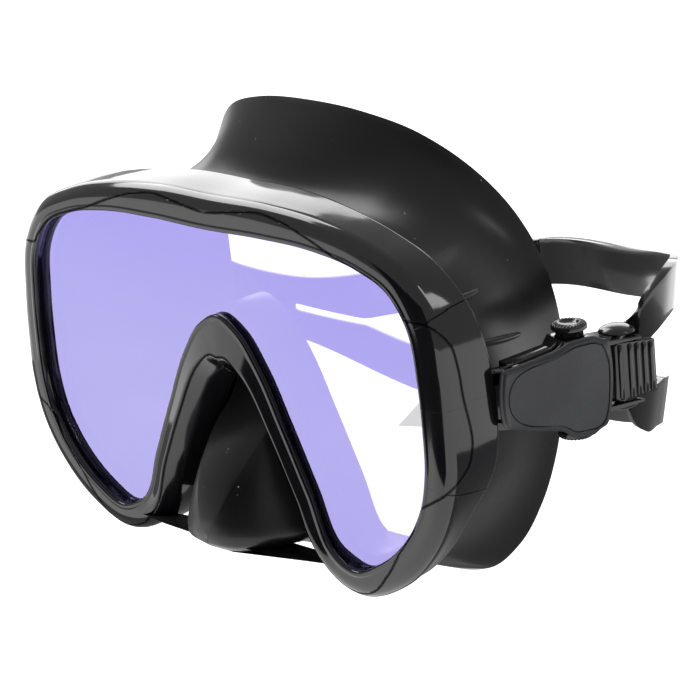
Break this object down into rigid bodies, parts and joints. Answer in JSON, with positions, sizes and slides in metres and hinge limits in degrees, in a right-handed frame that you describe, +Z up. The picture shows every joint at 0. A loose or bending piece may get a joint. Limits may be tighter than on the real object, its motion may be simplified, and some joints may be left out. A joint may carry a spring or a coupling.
{
  "type": "diving mask",
  "caption": "Single-lens diving mask with a framed flat lens, a soft face skirt with a nose pocket, and a split strap held by swivelling squeeze-button buckles.",
  "frame": {"origin": "on the lens's front face, in the plane of symmetry, above the nose notch", "axes": "+X towards the wearer's left side, -Y the way the wearer looks, +Z up"},
  "size_m": [0.1876, 0.13, 0.1226],
  "materials": {
    "frame": "polished black plastic",
    "lens": "violet mirror coating on clear glass",
    "skirt": "satin black silicone",
    "strap": "glossy black silicone",
    "cover": "fine-textured charcoal plastic",
    "pad": "matte charcoal inlay",
    "buckle": "semi-gloss black plastic",
    "steel": "stainless steel wire and pins"
  },
  "bodies": {
    "mask": {"frame": "frame", "lens_retainer": "frame", "lens": "lens", "skirt": "skirt", "strap_back": "strap", "strap_side_right": "strap", "hinge_pin_right": "steel", "strap_side_left": "strap", "hinge_pin_left": "steel"},
    "buckle_right": {"buckle_body_right": "buckle", "buckle_cover_right": "cover", "cover_pad_right": "pad", "button_spring_right": "steel", "pawl_pin_right": "steel", "roller_pin_right": "buckle", "strap_tail_right": "strap"},
    "upper_button_right": {"button_top_right": "buckle"},
    "lower_button_right": {"button_bottom_right": "buckle"},
    "pawl_right": {"strap_pawl_right": "buckle"},
    "roller_right": {"strap_roller_right": "buckle"},
    "buckle_left": {"buckle_body_left": "buckle", "buckle_cover_left": "cover", "cover_pad_left": "pad", "button_spring_left": "steel", "pawl_pin_left": "steel", "roller_pin_left": "buckle", "strap_tail_left": "strap"},
    "upper_button_left": {"button_top_left": "buckle"},
    "lower_button_left": {"button_bottom_left": "buckle"},
    "pawl_left": {"strap_pawl_left": "buckle"},
    "roller_left": {"strap_roller_left": "buckle"}
  },
  "joints": [
    {"name": "buckle_swivel_right", "type": "hinge", "parent": "mask", "child": "buckle_right", "pos_m": [0.08, 0.0166, -0.0227], "axis": [0, 0, -1], "range_deg": [-20, 12], "deforming": ["strap_side_right"]},
    {"name": "upper_button_press_right", "type": "slide", "parent": "buckle_right", "child": "upper_button_right", "axis": [0, 0, -1], "range_m": [0, 0.0015], "stiffness_N_per_m": 400, "springref_m": -0.0004, "deforming": ["button_spring_right"]},
    {"name": "lower_button_press_right", "type": "slide", "parent": "buckle_right", "child": "lower_button_right", "axis": [0, 0, 1], "range_m": [0, 0.0015], "stiffness_N_per_m": 400, "springref_m": -0.0004, "deforming": ["button_spring_right"]},
    {"name": "pawl_lift_right", "type": "hinge", "parent": "buckle_right", "child": "pawl_right", "pos_m": [0.08372, 0.02594, -0.0227], "axis": [0, 0, -1], "range_deg": [0, 4.8]},
    {"name": "roller_spin_right", "type": "hinge", "parent": "buckle_right", "child": "roller_right", "pos_m": [0.08701, 0.05048, -0.0227], "axis": [0, 0, 1], "continuous": true},
    {"name": "buckle_swivel_left", "type": "hinge", "parent": "mask", "child": "buckle_left", "pos_m": [-0.08, 0.0166, -0.0227], "axis": [0, 0, 1], "range_deg": [-20, 12], "deforming": ["strap_side_left"]},
    {"name": "upper_button_press_left", "type": "slide", "parent": "buckle_left", "child": "upper_button_left", "axis": [0, 0, -1], "range_m": [0, 0.0015], "stiffness_N_per_m": 400, "springref_m": -0.0004, "deforming": ["button_spring_left"]},
    {"name": "lower_button_press_left", "type": "slide", "parent": "buckle_left", "child": "lower_button_left", "axis": [0, 0, 1], "range_m": [0, 0.0015], "stiffness_N_per_m": 400, "springref_m": -0.0004, "deforming": ["button_spring_left"]},
    {"name": "pawl_lift_left", "type": "hinge", "parent": "buckle_left", "child": "pawl_left", "pos_m": [-0.08372, 0.02594, -0.0227], "axis": [0, 0, 1], "range_deg": [0, 4.8]},
    {"name": "roller_spin_left", "type": "hinge", "parent": "buckle_left", "child": "roller_left", "pos_m": [-0.08701, 0.05048, -0.0227], "axis": [0, 0, 1], "continuous": true}
  ],
  "couplings": [
    {"joint": "pawl_lift_right", "follows": "upper_button_press_right", "rad_per_m": 46.542},
    {"joint": "pawl_lift_left", "follows": "upper_button_press_left", "rad_per_m": 46.542}
  ]
}
